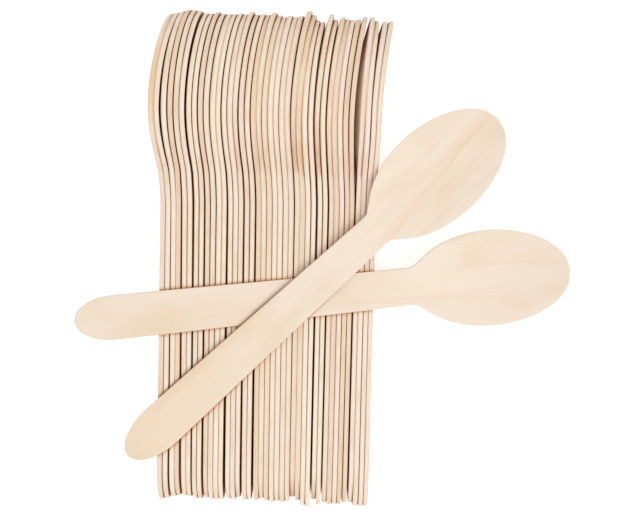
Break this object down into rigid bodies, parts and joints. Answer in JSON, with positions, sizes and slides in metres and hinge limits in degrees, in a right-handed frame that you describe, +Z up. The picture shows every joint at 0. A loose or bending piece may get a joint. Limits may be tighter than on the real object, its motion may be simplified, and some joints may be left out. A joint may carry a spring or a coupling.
{
  "type": "wooden spoon pack",
  "caption": "Pack of short pressed wooden spoons, nested on edge in a row with two more laid crossed on top, for eating and serving.",
  "frame": {"origin": "middle of the pack's footprint, on the surface it lies on", "axes": "+X along the row, from its first spoon to its last; +Y along the spoons, from their tails to their bowls; +Z up"},
  "size_m": [0.1592, 0.1636, 0.0304],
  "materials": {
    "row_spoon_01": "smooth uncoated pressed veneer",
    "row_spoon_02": "smooth uncoated pressed veneer",
    "row_spoon_03": "smooth uncoated pressed veneer",
    "row_spoon_04": "smooth uncoated pressed veneer",
    "row_spoon_05": "smooth uncoated pressed veneer",
    "row_spoon_06": "smooth uncoated pressed veneer",
    "row_spoon_07": "smooth uncoated pressed veneer",
    "row_spoon_08": "smooth uncoated pressed veneer",
    "row_spoon_09": "smooth uncoated pressed veneer",
    "row_spoon_10": "smooth uncoated pressed veneer",
    "row_spoon_11": "smooth uncoated pressed veneer",
    "row_spoon_12": "smooth uncoated pressed veneer",
    "row_spoon_13": "smooth uncoated pressed veneer",
    "row_spoon_14": "smooth uncoated pressed veneer",
    "row_spoon_15": "smooth uncoated pressed veneer",
    "row_spoon_16": "smooth uncoated pressed veneer",
    "row_spoon_17": "smooth uncoated pressed veneer",
    "row_spoon_18": "smooth uncoated pressed veneer",
    "row_spoon_19": "smooth uncoated pressed veneer",
    "row_spoon_20": "smooth uncoated pressed veneer",
    "row_spoon_21": "smooth uncoated pressed veneer",
    "row_spoon_22": "smooth uncoated pressed veneer",
    "row_spoon_23": "smooth uncoated pressed veneer",
    "row_spoon_24": "smooth uncoated pressed veneer",
    "row_spoon_25": "smooth uncoated pressed veneer",
    "row_spoon_26": "smooth uncoated pressed veneer",
    "row_spoon_27": "smooth uncoated pressed veneer",
    "row_spoon_28": "smooth uncoated pressed veneer",
    "row_spoon_29": "smooth uncoated pressed veneer",
    "row_spoon_30": "smooth uncoated pressed veneer",
    "row_spoon_31": "smooth uncoated pressed veneer",
    "row_spoon_32": "smooth uncoated pressed veneer",
    "row_spoon_33": "smooth uncoated pressed veneer",
    "row_spoon_34": "smooth uncoated pressed veneer",
    "row_spoon_35": "smooth uncoated pressed veneer",
    "row_spoon_36": "smooth uncoated pressed veneer",
    "row_spoon_37": "smooth uncoated pressed veneer",
    "row_spoon_38": "smooth uncoated pressed veneer",
    "row_spoon_39": "smooth uncoated pressed veneer",
    "loose_spoon_lower": "smooth uncoated pressed veneer",
    "loose_spoon_upper": "smooth uncoated pressed veneer"
  },
  "bodies": {
    "root": {"row_spoon_01": "row_spoon_01", "row_spoon_02": "row_spoon_02", "row_spoon_03": "row_spoon_03", "row_spoon_04": "row_spoon_04", "row_spoon_05": "row_spoon_05", "row_spoon_06": "row_spoon_06", "row_spoon_07": "row_spoon_07", "row_spoon_08": "row_spoon_08", "row_spoon_09": "row_spoon_09", "row_spoon_10": "row_spoon_10", "row_spoon_11": "row_spoon_11", "row_spoon_12": "row_spoon_12", "row_spoon_13": "row_spoon_13", "row_spoon_14": "row_spoon_14", "row_spoon_15": "row_spoon_15", "row_spoon_16": "row_spoon_16", "row_spoon_17": "row_spoon_17", "row_spoon_18": "row_spoon_18", "row_spoon_19": "row_spoon_19", "row_spoon_20": "row_spoon_20", "row_spoon_21": "row_spoon_21", "row_spoon_22": "row_spoon_22", "row_spoon_23": "row_spoon_23", "row_spoon_24": "row_spoon_24", "row_spoon_25": "row_spoon_25", "row_spoon_26": "row_spoon_26", "row_spoon_27": "row_spoon_27", "row_spoon_28": "row_spoon_28", "row_spoon_29": "row_spoon_29", "row_spoon_30": "row_spoon_30", "row_spoon_31": "row_spoon_31", "row_spoon_32": "row_spoon_32", "row_spoon_33": "row_spoon_33", "row_spoon_34": "row_spoon_34", "row_spoon_35": "row_spoon_35", "row_spoon_36": "row_spoon_36", "row_spoon_37": "row_spoon_37", "row_spoon_38": "row_spoon_38", "row_spoon_39": "row_spoon_39", "loose_spoon_lower": "loose_spoon_lower", "loose_spoon_upper": "loose_spoon_upper"}
  },
  "joints": []
}
